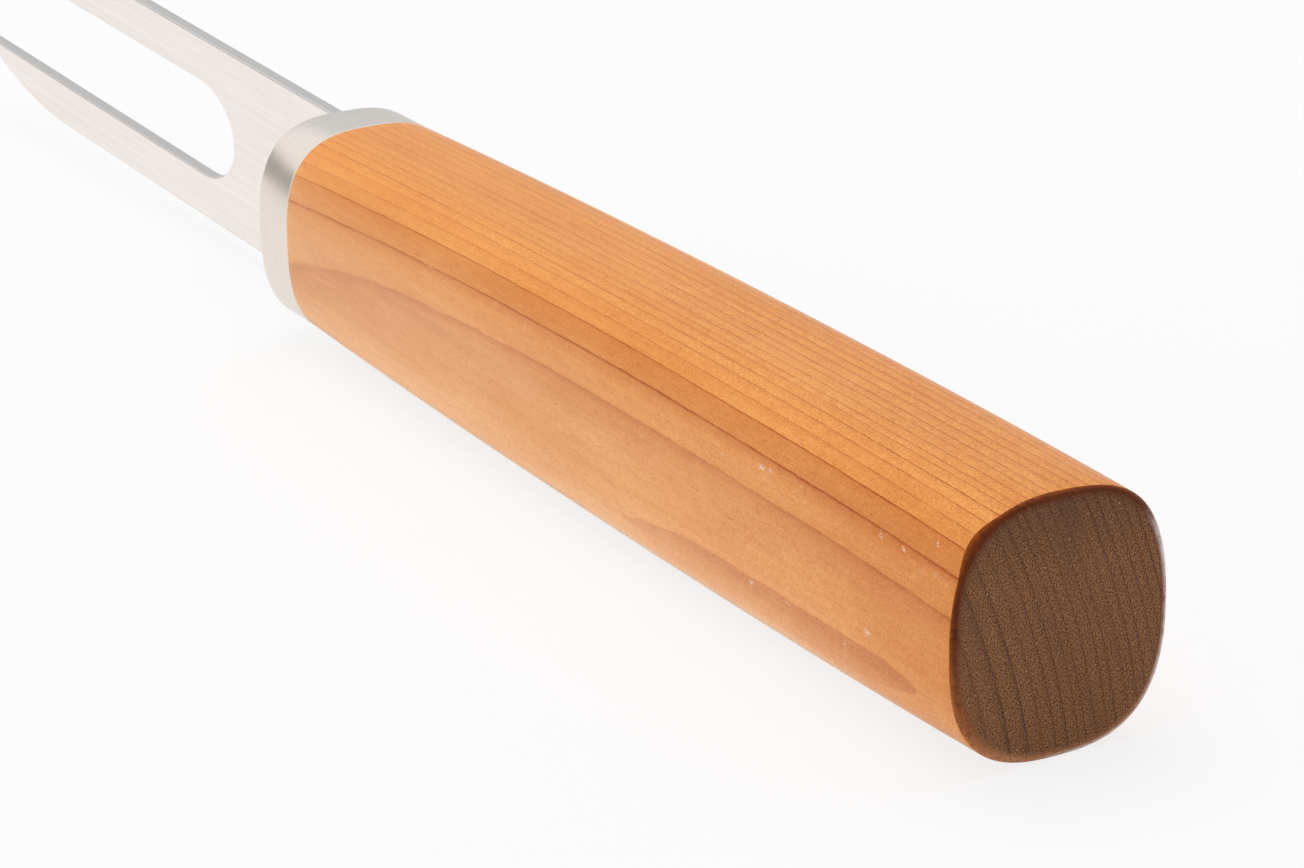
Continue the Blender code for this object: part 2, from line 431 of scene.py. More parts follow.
# Tang adhesive: amber epoxy poured into the handle's bore round the tang, where it sets hard.
# It stays inside the handle, so its own solid is kept and only gets its cloudy, bubbly finish.
EPOXY_GRAIN = (0.25, 0.4, 0.4)
EPOXY_DARK = (196, 164, 104)
EPOXY_LIGHT = (222, 196, 142)
EPOXY_ROUGHNESS = (0.3, 0.7, 0.28, 0.45)
BUBBLE_TONE = (168, 132, 78)
BUBBLES_PER_MM = 1.6
BUBBLE_EDGE = (0.10, 0.22)
BUBBLE_STRENGTH = 0.5
BUBBLE_DEPTH = 0.0001


def cured_epoxy():
    material, tree, shader, millimetres = new_material("cured_epoxy")
    place_mm = millimetres.outputs[0]
    cloud = stretched_noise(tree, place_mm, EPOXY_GRAIN, detail=4.0)
    tone = mix_colours(tree, cloud, colour(EPOXY_DARK), colour(EPOXY_LIGHT))
    bubbles = place(tree, "ShaderNodeTexVoronoi", {"Vector": place_mm, "Scale": BUBBLES_PER_MM})
    wall = rescale(tree, bubbles.outputs["Distance"], *BUBBLE_EDGE)
    feed(tree, shader.inputs["Base Color"], mix_colours(tree, wall, colour(BUBBLE_TONE), tone))
    feed(tree, shader.inputs["Roughness"], rescale(tree, cloud, *EPOXY_ROUGHNESS))
    relief = {"Height": wall, "Strength": BUBBLE_STRENGTH, "Distance": BUBBLE_DEPTH}
    feed(tree, shader.inputs["Normal"], place(tree, "ShaderNodeBump", relief).outputs[0])
    return material


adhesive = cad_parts["tang_adhesive"]
adhesive.data.materials.clear()
adhesive.data.materials.append(cured_epoxy())


# Handle: one piece of oiled, fine-ringed wood, shaped to a rounded square that swells to the butt.
# It is bored blind from the front for the tang and glued on. The butt is sawn square, so it shows
# dark end grain, and a narrow chamfer is cut round it.
BUTT_POWER = 2.75
MIDDLE_SWELL = 0.0002
MIDDLE_POWER_GAIN = 0.8
BUTT_FLAT_INSET = 0.0016
CHAMFER_POWER = 1.35
CHAMFER_STEPS = 10
CHAMFER_INNER = 0.8
HANDLE_STATIONS = 72
BORE_RADIUS = 0.00515
BORE_STATIONS = 6
# The chamfer as a hand leaves it: at angles round the butt, in degrees from its right side up over the
# top, how far it is cut along the handle and how far onto the butt, in millimetres.
HAND_CUT = (
    (0, 0.43, 0.43),
    (36, 0.64, 0.64),
    (70, 0.42, 0.42),
    (95, 0.72, 0.45),
    (117, 0.46, 0.45),
    (132, 1.00, 0.50),
    (151, 0.28, 0.45),
    (180, 0.52, 0.45),
    (225, 0.60, 0.80),
    (270, 0.48, 0.50),
    (315, 0.68, 0.68),
    (360, 0.43, 0.43),
)

butt_x = handle_high.x
butt_width = handle_high.y - handle_low.y
butt_height = handle_high.z - handle_low.z
wood_front = bolster_high.x + SEAM
handle_length = butt_x - joint_x
bore_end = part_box("tang_adhesive")[1].x + 2 * SEAM


def handle_section(x):
    """Width, height and corner power of the handle at a place along its axis."""
    share = (x - joint_x) / handle_length
    bulge = 4 * share * (1 - share)
    width = front_width + (butt_width - front_width) * share + MIDDLE_SWELL * bulge
    height = front_height + (butt_height - front_height) * share + MIDDLE_SWELL * bulge
    power = FRONT_POWER + (BUTT_POWER - FRONT_POWER) * share + MIDDLE_POWER_GAIN * bulge
    return width, height, power


def hand_cut(turn):
    """How far the chamfer is cut along the handle and onto the butt at an angle, eased between cuts."""
    degrees = math.degrees(turn)
    for near, far in zip(HAND_CUT, HAND_CUT[1:]):
        if degrees <= far[0]:
            share = (degrees - near[0]) / (far[0] - near[0])
            share = share * share * (3 - 2 * share)
            return [(a + (b - a) * share) / MM_PER_METRE for a, b in zip(near[1:], far[1:])]


def chamfer_ring(rise, run):
    """A ring of the chamfer, from the butt (rise 0, run 1) to the handle's side (rise 1, run 0)."""
    ring = []
    for turn in section_turns:
        along, onto = hand_cut(turn)
        width, height, power = handle_section(butt_x - along)
        inset = 2 * onto * (1 - rise)
        ring.append(section_point(butt_x - along * (1 - run), turn, width - inset, height - inset, power))
    return ring


def make_handle():
    width, height, power = handle_section(butt_x)
    margin = 2 * BUTT_FLAT_INSET
    rings = [section_ring(butt_x, width - margin, height - margin, power)]
    over_edge = [1.0]
    for turn in quarter_turns(CHAMFER_STEPS):
        run = math.cos(turn) ** (2 / CHAMFER_POWER)
        rings.append(chamfer_ring(math.sin(turn) ** (2 / CHAMFER_POWER), run))
        over_edge.append(CHAMFER_INNER * run)
    side_start = [point[0] for point in rings[-1]]
    front_x = wood_front + SEAM_ROUND
    for i in range(HANDLE_STATIONS):
        ring = []
        for turn, start in zip(section_turns, side_start):
            x = start + (front_x - start) * (i + 1) / HANDLE_STATIONS
            ring.append(section_point(x, turn, *handle_section(max(x, joint_x))))
        rings.append(ring)
    rings += edge_round(wood_front, *handle_section(joint_x), SEAM_ROUND, SEAM_ROUND_STEPS, -1)[1:]
    bore = [(BORE_RADIUS * math.cos(turn), BORE_RADIUS * math.sin(turn)) for turn in section_turns]
    for i in range(BORE_STATIONS + 1):
        rings.append(on_blade_line(wood_front + (bore_end - wood_front) * i / BORE_STATIONS, bore))
    solid = solid_from_rings("wooden_handle", rings)
    over_edge += [0.0] * (len(rings) - len(over_edge))
    worked = solid.data.attributes.new("over_edge", "FLOAT", "POINT")
    worked.data.foreach_set("value", [value for value in over_edge for turn in section_turns])
    return solid


# The tree's rings, in millimetres from the butt's centre: nearly upright, curved round a pith that
# lies off to the left, and drifting a little to the left on the way to the butt. Near the pith they
# are wide, with broad soft latewood, and further out they settle to a fine, nearly even width.
RING_TILT = math.radians(16.7)
PITH_DISTANCE = 72.0
RING_DRIFT = -0.0211
INNER_DRIFT = -0.0100
INNER_SPAN = (-9.0, -11.5)
RING_BOW = -0.00018
FIRST_RING = -14.63
WIDE_RINGS = (2.96, 2.37, 2.0, 1.85, 1.4, 1.35)
FINE_RING = 1.07
FINE_RINGS = 14
RING_COUNT = len(WIDE_RINGS) + FINE_RINGS
UNEVEN_YEARS = 0.3
YEARS_GRAIN = 0.45
WANDER = 0.06
WANDER_GRAIN = (0.04, 0.15, 0.15)
SHIVER = 0.035
SHIVER_GRAIN = (0.35, 0.8, 0.8)
NOISE_SPAN = (0.2, 0.8)


def ring_axes(tree, place_mm):
    """Coordinates turned round the handle's axis: Y runs out across the rings and Z along them."""
    turn = {"Vector": place_mm, "Rotation": (-RING_TILT, 0.0, 0.0)}
    return place(tree, "ShaderNodeMapping", turn).outputs[0]


def ring_number(tree, place_mm):
    """Counts the growth rings from the pith side, as a number that grows by 1 from ring to ring."""
    turned = place(tree, "ShaderNodeSeparateXYZ", {"Vector": ring_axes(tree, place_mm)})
    back, out, along_ring = turned.outputs
    curved = calc(tree, "MULTIPLY", calc(tree, "MULTIPLY", along_ring, along_ring), 0.5 / PITH_DISTANCE)
    out = calc(tree, "ADD", out, curved)
    drift = rescale(tree, out, *INNER_SPAN, RING_DRIFT, INNER_DRIFT)
    lean = calc(tree, "SUBTRACT", calc(tree, "MULTIPLY", back, -RING_BOW), drift)
    distance = calc(tree, "MULTIPLY_ADD", lean, back, out)
    for reach, grain in ((WANDER, WANDER_GRAIN), (SHIVER, SHIVER_GRAIN)):
        noise = stretched_noise(tree, place_mm, grain, detail=2.0)
        distance = calc(tree, "ADD", distance, rescale(tree, noise, *NOISE_SPAN, -reach, reach))
    first_fine = FIRST_RING + sum(WIDE_RINGS)
    last_ring = first_fine + FINE_RING * FINE_RINGS
    years = {"W": distance, "Scale": YEARS_GRAIN, "Detail": 1.0}
    year = place(tree, "ShaderNodeTexNoise", years, noise_dimensions="1D").outputs[0]
    uneven = rescale(tree, year, *NOISE_SPAN, -UNEVEN_YEARS, UNEVEN_YEARS)
    uneven = calc(tree, "MULTIPLY", uneven, rescale(tree, distance, first_fine, first_fine + FINE_RING))
    distance = calc(tree, "ADD", distance, uneven)
    widths = place(tree, "ShaderNodeFloatCurve")
    feed(tree, widths.inputs["Value"], rescale(tree, distance, FIRST_RING, last_ring))
    points = widths.mapping.curves[0].points
    edge = FIRST_RING
    for number, width in enumerate(WIDE_RINGS):
        edge += width
        points.new((edge - FIRST_RING) / (last_ring - FIRST_RING), (number + 1) / RING_COUNT)
    for point in points:
        point.handle_type = "VECTOR"
    widths.mapping.update()
    return calc(tree, "MULTIPLY", widths.outputs[0], RING_COUNT)


def ramp(tree, value, stops, easing="LINEAR"):
    """A ramp through stops of (place, grey)."""
    node = place(tree, "ShaderNodeValToRGB", {"Fac": value})
    node.color_ramp.interpolation = easing
    elements = node.color_ramp.elements
    while len(elements) < len(stops):
        elements.new(0.5)
    for element, (where, grey) in zip(elements, stops):
        element.position = where
        element.color = (grey, grey, grey, 1.0)
    return node.outputs["Color"]


def by_ring(tree, number, values):
    """A value of its own for each wide ring, the last one being for all the fine rings."""
    stops = [(ring / RING_COUNT, value) for ring, value in enumerate(values)]
    middle = calc(tree, "DIVIDE", calc(tree, "ADD", number, 0.5), RING_COUNT)
    return ramp(tree, middle, stops, "CONSTANT")


def product(tree, first, *others):
    """Values multiplied together."""
    for other in others:
        first = calc(tree, "MULTIPLY", first, other)
    return first


def zone(tree, axes, spans):
    """How far a place lies in a zone, which has a span on one or more axes in millimetres from the
    butt's centre."""
    return product(tree, *[rescale(tree, axes[axis], *span) for axis, span in spans.items()])


# What sets the rings apart, from the pith out, with the fine rings last: their own tone, how far their
# latewood darkens, and how strong the line at their end is. Through a ring's width, darkness runs
# through stops of (share of the width, darkness).
RING_TONES = (0.28, 0.02, 0.06, 0.24, 0.08, 0.05, 0.02)
LATEWOOD = (0.06, 0.30, 0.36, 0.10, 0.14, 0.10, 0.13)
RING_LINES = (0.03, 0.28, 0.62, 0.66, 0.53, 0.57, 0.78)
FADE_STOPS = ((0.0, 0.0), (0.30, 0.06), (0.60, 0.26), (0.85, 0.66), (1.0, 1.0))
LINE_STOPS = ((0.0, 0.25), (0.03, 0.0), (0.90, 0.0), (0.955, 0.6), (0.98, 1.0), (1.0, 0.65))
SAWN_STOPS = ((0.0, 0.4), (0.06, 0.0), (0.60, 0.05), (0.84, 0.35), (0.95, 1.0), (1.0, 0.8))
LINE_CHANCE = (0.0, 1.0, 0.75, 1.25)
SAWN_CHANCE = (0.0, 1.0, 0.50, 1.0)
BROKEN_GRAIN = (0.22, 0.6, 0.6)
BROKEN_LINE = (0.32, 0.68, 0.5, 1.5)
LINE_ZONE = {"X": (-110.0, -20.0, 0.50, 1.0)}
LATE_ZONE = {"X": (-110.0, 0.0, 0.8, 1.5), "Z": (-5.5, -8.5, 1.0, 0.3)}


def latewood(tree, place_mm, rings, axes):
    """How dark the wood is in its ring: a thin line where the ring ends, a soft fade up to it, and the
    broader line that the same ring shows on a sawn end."""
    share = calc(tree, "FRACT", rings)
    number = calc(tree, "FLOOR", rings)
    chance = place(tree, "ShaderNodeTexWhiteNoise", {"W": number}, noise_dimensions="1D").outputs["Value"]
    broken = stretched_noise(tree, place_mm, BROKEN_GRAIN, detail=4.0, roughness=0.65)
    line = product(tree, ramp(tree, share, LINE_STOPS), by_ring(tree, number, RING_LINES),
                   rescale(tree, chance, *LINE_CHANCE), zone(tree, axes, LINE_ZONE),
                   rescale(tree, broken, *BROKEN_LINE))
    sawn = product(tree, ramp(tree, share, SAWN_STOPS), rescale(tree, chance, *SAWN_CHANCE))
    fade = product(tree, ramp(tree, share, FADE_STOPS), by_ring(tree, number, LATEWOOD))
    fade = calc(tree, "ADD", fade, by_ring(tree, number, RING_TONES))
    return line, product(tree, fade, zone(tree, axes, LATE_ZONE)), sawn


# Tones of the oiled wood and where they lie: a painted floor reflection, paler low down and towards the
# front; painted bounce light on the underside; deeper at the butt.
WOOD_TONE = (246, 161, 82)
REFLECTED_WOOD_TONE = (242, 178, 121)
LATE_TONE = (184, 84, 24)
REFLECTED_LATE_TONE = (186, 98, 78)
LINE_TONE = (168, 50, 6)
DEEP_TONE = (206, 112, 40)
BOUNCE_LIT_TONE = (255, 194, 136)
BRIGHTEST_BOUNCE_TONE = (255, 222, 184)
FLOOR_REFLECTION_ZONE = {"Z": (10.2, 1.2), "X": (0.0, -110.0, 0.25, 1.0)}
DEEP_ZONE = {"X": (-30.0, 0.0, 0.0, 0.20), "Z": (9.5, 6.5, 0.25, 1.0)}
BOUNCE_ZONE = {"X": (-5.0, -30.0, 0.2), "Z": (-3.0, -9.0)}
BRIGHTEST_BOUNCE_ZONE = {"Z": (-8.4, -10.4, 0.0, 0.8)}


def ringed_wood(tree, line, fade, axes):
    """The wood's colour by its rings and by its place on the handle, with painted reflection and painted
    bounce light low down.
    """
    # Painted reflection: the wood is mixed towards paler copies of its tones low down and towards the
    # front.
    pale = zone(tree, axes, FLOOR_REFLECTION_ZONE)
    wood = mix_colours(tree, pale, colour(WOOD_TONE), colour(REFLECTED_WOOD_TONE))
    late = mix_colours(tree, pale, colour(LATE_TONE), colour(REFLECTED_LATE_TONE))
    wood = mix_colours(tree, fade, wood, late)
    wood = mix_colours(tree, line, wood, colour(LINE_TONE))
    wood = mix_colours(tree, zone(tree, axes, DEEP_ZONE), wood, colour(DEEP_TONE))
    # Painted bounce light: the underside is lightened towards the floor, most of all along its lowest
    # edge.
    low = zone(tree, axes, BOUNCE_ZONE)
    wood = mix_colours(tree, low, wood, mix_colours(tree, fade, colour(BOUNCE_LIT_TONE), wood))
    lowest = product(tree, low, zone(tree, axes, BRIGHTEST_BOUNCE_ZONE))
    return mix_colours(tree, lowest, wood, colour(BRIGHTEST_BOUNCE_TONE))


TEXTURE_SPAN = (0.35, 0.65)
DEEP_TINGE = (0.5, 1.0, 1.4)
PALE_TINGE = (0.4, 1.0, 1.6)


def shade(tree, tone, texture, darkest, lightest):
    """A colour made darker and lighter by a texture, whose values spread round one half."""
    share = rescale(tree, texture, *TEXTURE_SPAN, darkest, lightest)
    return mix_colours(tree, 1.0, tone, share, "MULTIPLY")


def tinge(tree, tone, texture, strength):
    """A colour made deeper and redder, or paler, by a texture, whose values spread round one half."""
    share = rescale(tree, texture, *TEXTURE_SPAN)
    deep = [1 - strength * part for part in DEEP_TINGE]
    pale = [1 + strength * part for part in PALE_TINGE]
    tint = mix_colours(tree, share, (*deep, 1.0), (*pale, 1.0))
    return mix_colours(tree, 1.0, tone, tint, "MULTIPLY")


def calmed(tree, texture, share):
    """A texture brought nearer to its middle, one half, where the share is low."""
    return calc(tree, "MULTIPLY_ADD", calc(tree, "SUBTRACT", texture, 0.5), share, 0.5)


# Textures in features per millimetre along X, Y and Z, and how strongly each tinges the wood.
CLOUD_GRAIN = (0.05, 0.20, 0.20)
CLOUD_TINGE = 0.06
STREAK_GRAIN = (0.04, 1.6, 1.6)
STREAK_TINGE = 0.04
MOTTLE_GRAIN = (0.5, 0.9, 0.9)
MOTTLE_TINGE = 0.05
FIBRE_GRAIN = (0.35, 6.0, 6.0)
FIBRE_TINGE = 0.05
SPECKLE_GRAIN = (3.2, 5.4, 5.4)
SPECKLE_TINGE = 0.24
CLEAR_ZONE = {"X": (-110.0, -20.0, 0.4, 1.0), "Y": (-10.0, -6.0, 0.6, 1.0)}
PORE_GRAIN = (0.9, 7.0, 7.0)
PORE_SPAN = (0.66, 0.74, 0.0, 0.40)
PORE_TONE = (150, 78, 38)


def wood_skin(tree, place_mm, wood, axes):
    """The planed and oiled sides: the ringed wood with clouds, streaks, fibres, fine speckle and pores."""
    clear = zone(tree, axes, CLEAR_ZONE)
    cloud = stretched_noise(tree, place_mm, CLOUD_GRAIN, detail=3.0)
    streaks = stretched_noise(tree, place_mm, STREAK_GRAIN, detail=2.0)
    mottle = calmed(tree, stretched_noise(tree, place_mm, MOTTLE_GRAIN, detail=2.0), clear)
    fibres = stretched_noise(tree, place_mm, FIBRE_GRAIN, detail=3.0, roughness=0.6)
    speckle = stretched_noise(tree, place_mm, SPECKLE_GRAIN, detail=2.0, roughness=0.75)
    pores = stretched_noise(tree, place_mm, PORE_GRAIN, detail=2.0)
    skin = tinge(tree, wood, cloud, CLOUD_TINGE)
    skin = tinge(tree, skin, streaks, STREAK_TINGE)
    skin = tinge(tree, skin, mottle, MOTTLE_TINGE)
    skin = tinge(tree, skin, fibres, FIBRE_TINGE)
    skin = tinge(tree, skin, calmed(tree, speckle, clear), SPECKLE_TINGE)
    return mix_colours(tree, rescale(tree, pores, *PORE_SPAN), skin, colour(PORE_TONE)), fibres


# Knocks on the left side: fine scuffs along its upper corner, and pale nicks, each with its place in
# millimetres from the butt's centre and its radius.
SCUFF_GRAIN = (1.2, 3.2, 3.2)
SCUFF_SPAN = (0.54, 0.66, 0.0, 0.40)
SCUFF_TONE = (240, 200, 166)
KNOCK_GRAIN = (0.10, 0.3, 0.3)
KNOCK_SPAN = (0.48, 0.60)
KNOCK_ZONE = {"Y": (-9.0, -10.0)}
ABOVE_MIDDLE = {"Z": (4.0, 5.5)}
BELOW_TOP = {"Z": (8.0, 6.5)}
NICK_TONE = (246, 222, 200)
NICK_SHAPE = (0.5, 1.0, 1.0)
NICK_EDGE = (1.7, 0.5)
NICK_SHARE = 0.85
RAGGED_GRAIN = 4.0
RAGGED = 1.2
PALE_NICKS = (
    (-13.2, -10.9, -2.8, 0.20),
    (-17.3, -10.6, -5.4, 0.13),
    (-17.5, -10.4, -6.1, 0.11),
    (-18.2, -10.0, -7.5, 0.10),
    (-32.6, -10.7, -5.0, 0.16),
    (-26.3, -10.7, -4.9, 0.12),
    (-11.7, -10.4, 6.3, 0.13),
    (-8.4, -10.3, 6.3, 0.12),
    (-4.2, -9.6, 7.9, 0.10),
    (-31.0, -10.4, 6.4, 0.18),
    (-29.6, -10.4, 6.5, 0.14),
)


def knocked_skin(tree, place_mm, skin, axes):
    """The sides with the scuffs and nicks of use."""
    scuffs = stretched_noise(tree, place_mm, SCUFF_GRAIN, detail=4.0, roughness=0.7)
    knocks = stretched_noise(tree, place_mm, KNOCK_GRAIN, detail=2.0)
    scuffs = product(tree, rescale(tree, scuffs, *SCUFF_SPAN), zone(tree, axes, ABOVE_MIDDLE),
                     zone(tree, axes, BELOW_TOP))
    knocks = product(tree, rescale(tree, knocks, *KNOCK_SPAN), zone(tree, axes, KNOCK_ZONE))
    skin = mix_colours(tree, product(tree, scuffs, knocks), skin, colour(SCUFF_TONE))
    ragged = place(tree, "ShaderNodeTexNoise", {"Vector": place_mm, "Scale": RAGGED_GRAIN})
    moved = combine(tree, "MULTIPLY_ADD", ragged.outputs["Color"], [RAGGED] * 3, place_mm)
    drawn_out = combine(tree, "MULTIPLY", moved.outputs[0], NICK_SHAPE)
    for *spot, size in PALE_NICKS:
        centre = [(part + RAGGED / 2) * shape for part, shape in zip(spot, NICK_SHAPE)]
        away = combine(tree, "DISTANCE", drawn_out.outputs[0], centre)
        edge = [size * share for share in NICK_EDGE]
        nick = rescale(tree, away.outputs["Value"], *edge, 0.0, NICK_SHARE)
        skin = mix_colours(tree, nick, skin, colour(NICK_TONE))
    return skin


# The sawn butt, which drinks the oil and turns dark, most of all at the top.
CELL_GRAIN = (6.5, 9.0, 5.0)
CELL_SPAN = (0.44, 0.56)
CELL_DARK = (84, 53, 33)
CELL_LIGHT = (178, 124, 83)
BLOTCH_GRAIN = (0.25, 0.42, 0.08)
BLOTCH_SPAN = (0.50, 0.80, 0.0, 0.4)
BLOTCH_TONE = (98, 66, 56)
SOAKED_ZONE = {"Z": (5.0, 10.5, 0.0, 0.35)}
SOAKED_TONE = (78, 50, 40)
SAWN_SPAN = (0.40, 0.62, 0.66, 0.44)
SAWN_TONE = (60, 35, 25)
DUST_PER_MM = 1.2
DUST_CHANCE = (0.45, 0.75, 0.0, 0.7)
DUST_SPAN = (0.12, 0.07)
DUST_TONE = (206, 178, 150)


def end_grain(tree, place_mm, sawn, axes):
    """The butt's end grain: cut cells, blotches of oil, ring lines and specks of dust."""
    across = ring_axes(tree, place_mm)
    cells = stretched_noise(tree, across, CELL_GRAIN, detail=2.0, roughness=0.8)
    blotch = stretched_noise(tree, across, BLOTCH_GRAIN, detail=3.0)
    dust = place(tree, "ShaderNodeTexVoronoi", {"Vector": place_mm, "Scale": DUST_PER_MM})
    end = mix_colours(tree, rescale(tree, cells, *CELL_SPAN), colour(CELL_DARK), colour(CELL_LIGHT))
    end = mix_colours(tree, rescale(tree, blotch, *BLOTCH_SPAN), end, colour(BLOTCH_TONE))
    end = mix_colours(tree, zone(tree, axes, SOAKED_ZONE), end, colour(SOAKED_TONE))
    sawn = product(tree, sawn, rescale(tree, blotch, *SAWN_SPAN))
    end = mix_colours(tree, sawn, end, colour(SAWN_TONE))
    speck = product(tree, rescale(tree, dust.outputs["Distance"], *DUST_SPAN),
                    rescale(tree, dust.outputs["Color"], *DUST_CHANCE))
    return mix_colours(tree, speck, end, colour(DUST_TONE)), cells


# The chamfer and the rim, told by over_edge, which grows from 0 on the handle's side to 1 on the butt.
# Painted shade and bounce light on the chamfer: lit tones below, shaded tones above, paler still
# underneath.
EDGE_SHADE_ZONE = {"Z": (-10.5, 1.0)}
OUTER_BOUNCE_LIT = (202, 128, 66)
OUTER_SHADED = (152, 72, 10)
INNER_BOUNCE_LIT = (166, 102, 58)
INNER_SHADED = (98, 42, 6)
INNER_SIDE = (0.0, 0.55)
UNDERNEATH_BOUNCE = {"Z": (-7.5, -11.0, 0.0, 0.5)}
UNDERNEATH_BOUNCE_TONE = (226, 164, 118)
SOAK_GRAIN = (2.4, 2.4, 2.4)
SOAK_SHADES = (0.70, 1.30)
WORN_AND_HIGHLIGHT_RIGHT = {"Y": (6.5, 9.5), "Z": (9.0, 6.0)}
WORN_AND_HIGHLIGHT_RIGHT_EDGE = (0.85, 0.77)
WORN_AND_HIGHLIGHT_BELOW = {"Z": (-8.5, -10.5), "Y": (-3.0, 1.0)}
WORN_AND_HIGHLIGHT_BELOW_EDGE = (0.82, 0.74, 0.0, 0.9)
WORN_AND_HIGHLIGHT_GRAIN = (1.4, 1.4, 1.4)
WORN_AND_HIGHLIGHT_SPAN = (0.33, 0.52, 0.2, 1.0)


def butt_edge(tree, place_mm, over_edge, axes):
    """The chamfer, where the oil sinks in and darkens it towards the butt, with painted shade above and
    painted bounce light below and underneath.
    """
    # Painted shade and light: the chamfer's tones run from lit low down to shaded high up.
    height = zone(tree, axes, EDGE_SHADE_ZONE)
    outer = mix_colours(tree, height, colour(OUTER_BOUNCE_LIT), colour(OUTER_SHADED))
    inner = mix_colours(tree, height, colour(INNER_BOUNCE_LIT), colour(INNER_SHADED))
    tone = mix_colours(tree, rescale(tree, over_edge, *INNER_SIDE), outer, inner)
    tone = mix_colours(tree, zone(tree, axes, UNDERNEATH_BOUNCE), tone, colour(UNDERNEATH_BOUNCE_TONE))
    soaked = stretched_noise(tree, place_mm, SOAK_GRAIN, detail=3.0, roughness=0.7)
    return shade(tree, tone, soaked, *SOAK_SHADES)


def worn_and_highlight_rim(tree, place_mm, over_edge, axes):
    """How far the oil is rubbed off the butt's rim, with a painted highlight over it, most of all on the
    right and below.
    """
    patchy = stretched_noise(tree, place_mm, WORN_AND_HIGHLIGHT_GRAIN, detail=4.0, roughness=0.7)
    right = product(tree, zone(tree, axes, WORN_AND_HIGHLIGHT_RIGHT), rescale(tree, over_edge, *WORN_AND_HIGHLIGHT_RIGHT_EDGE))
    below = product(tree, zone(tree, axes, WORN_AND_HIGHLIGHT_BELOW), rescale(tree, over_edge, *WORN_AND_HIGHLIGHT_BELOW_EDGE))
    return product(tree, rescale(tree, patchy, *WORN_AND_HIGHLIGHT_SPAN), calc(tree, "MAXIMUM", right, below))


WORN_AND_HIGHLIGHT_TONE = (238, 216, 208)
END_SIDE = (0.76, 0.90)
EDGE_START = (0.01, 0.05)
SATIN_WOOD = (0.25, 0.75, 0.38, 0.50)
END_ROUGHNESS = 0.18
WOOD_GLOSS = 0.16
WOOD_SHEEN = 0.45
SHEEN_ROUGHNESS = 0.15
SIDE_RELIEF = 0.5
CELL_RELIEF = 2.0
WOOD_STRENGTH = 0.5
WOOD_DEPTH = 0.00003


def oiled_wood():
    material, tree, shader, millimetres = new_material("oiled_wood")
    millimetres.inputs["Location"].default_value = (-MM_PER_METRE * butt_x, 0.0, -MM_PER_METRE * axis_z)
    place_mm = millimetres.outputs[0]
    axes = place(tree, "ShaderNodeSeparateXYZ", {"Vector": place_mm}).outputs
    line, fade, sawn = latewood(tree, place_mm, ring_number(tree, place_mm), axes)
    skin, fibres = wood_skin(tree, place_mm, ringed_wood(tree, line, fade, axes), axes)
    skin = knocked_skin(tree, place_mm, skin, axes)
    end, cells = end_grain(tree, place_mm, sawn, axes)
    over_edge = place(tree, "ShaderNodeAttribute", attribute_name="over_edge").outputs["Fac"]
    edge = butt_edge(tree, place_mm, over_edge, axes)
    tone = mix_colours(tree, rescale(tree, over_edge, *END_SIDE), edge, end)
    # Worn rim and painted highlight: a pale band along the butt's rim on the right and below.
    tone = mix_colours(tree, worn_and_highlight_rim(tree, place_mm, over_edge, axes), tone, colour(WORN_AND_HIGHLIGHT_TONE))
    tone = mix_colours(tree, rescale(tree, over_edge, *EDGE_START), skin, tone)
    feed(tree, shader.inputs["Base Color"], tone)

    satin = rescale(tree, fibres, *SATIN_WOOD)
    feed(tree, shader.inputs["Roughness"], calc(tree, "MULTIPLY_ADD", over_edge, END_ROUGHNESS, satin))
    shader.inputs["Specular IOR Level"].default_value = WOOD_GLOSS
    shader.inputs["Sheen Weight"].default_value = WOOD_SHEEN
    shader.inputs["Sheen Roughness"].default_value = SHEEN_ROUGHNESS
    height = calc(tree, "MULTIPLY_ADD", fibres, SIDE_RELIEF, calc(tree, "MULTIPLY", line, SIDE_RELIEF))
    height = calc(tree, "MULTIPLY_ADD", product(tree, cells, over_edge), CELL_RELIEF, height)
    relief = {"Height": height, "Strength": WOOD_STRENGTH, "Distance": WOOD_DEPTH}
    feed(tree, shader.inputs["Normal"], place(tree, "ShaderNodeBump", relief).outputs[0])
    return material


handle = make_handle()
handle.data.materials.append(oiled_wood())
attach(handle, "root")
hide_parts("handle")


# Floor: a wide white sheet that the fork stands on. It shows white to the camera and in the steel,
# and still takes a part of its brightness from the lamps, so that the fork's soft shadow stays on it.
FLOOR_SIZE = 6.0
FLOOR_OWN_WHITE = 0.8
PAPER_GRAIN = (0.02, 0.02, 0.02)
PAPER_DARK = (0.93, 0.93, 0.93, 1.0)
PAPER_LIGHT = (0.97, 0.97, 0.97, 1.0)
PAPER_ROUGHNESS = 0.9


def seen_or_mirrored(tree):
    """1 for rays from the camera, or by way of a gloss or a clear body, and 0 for other light."""
    path = place(tree, "ShaderNodeLightPath")
    shown = calc(tree, "MAXIMUM", path.outputs["Is Camera Ray"], path.outputs["Is Glossy Ray"])
    return calc(tree, "MAXIMUM", shown, path.outputs["Is Transmission Ray"])


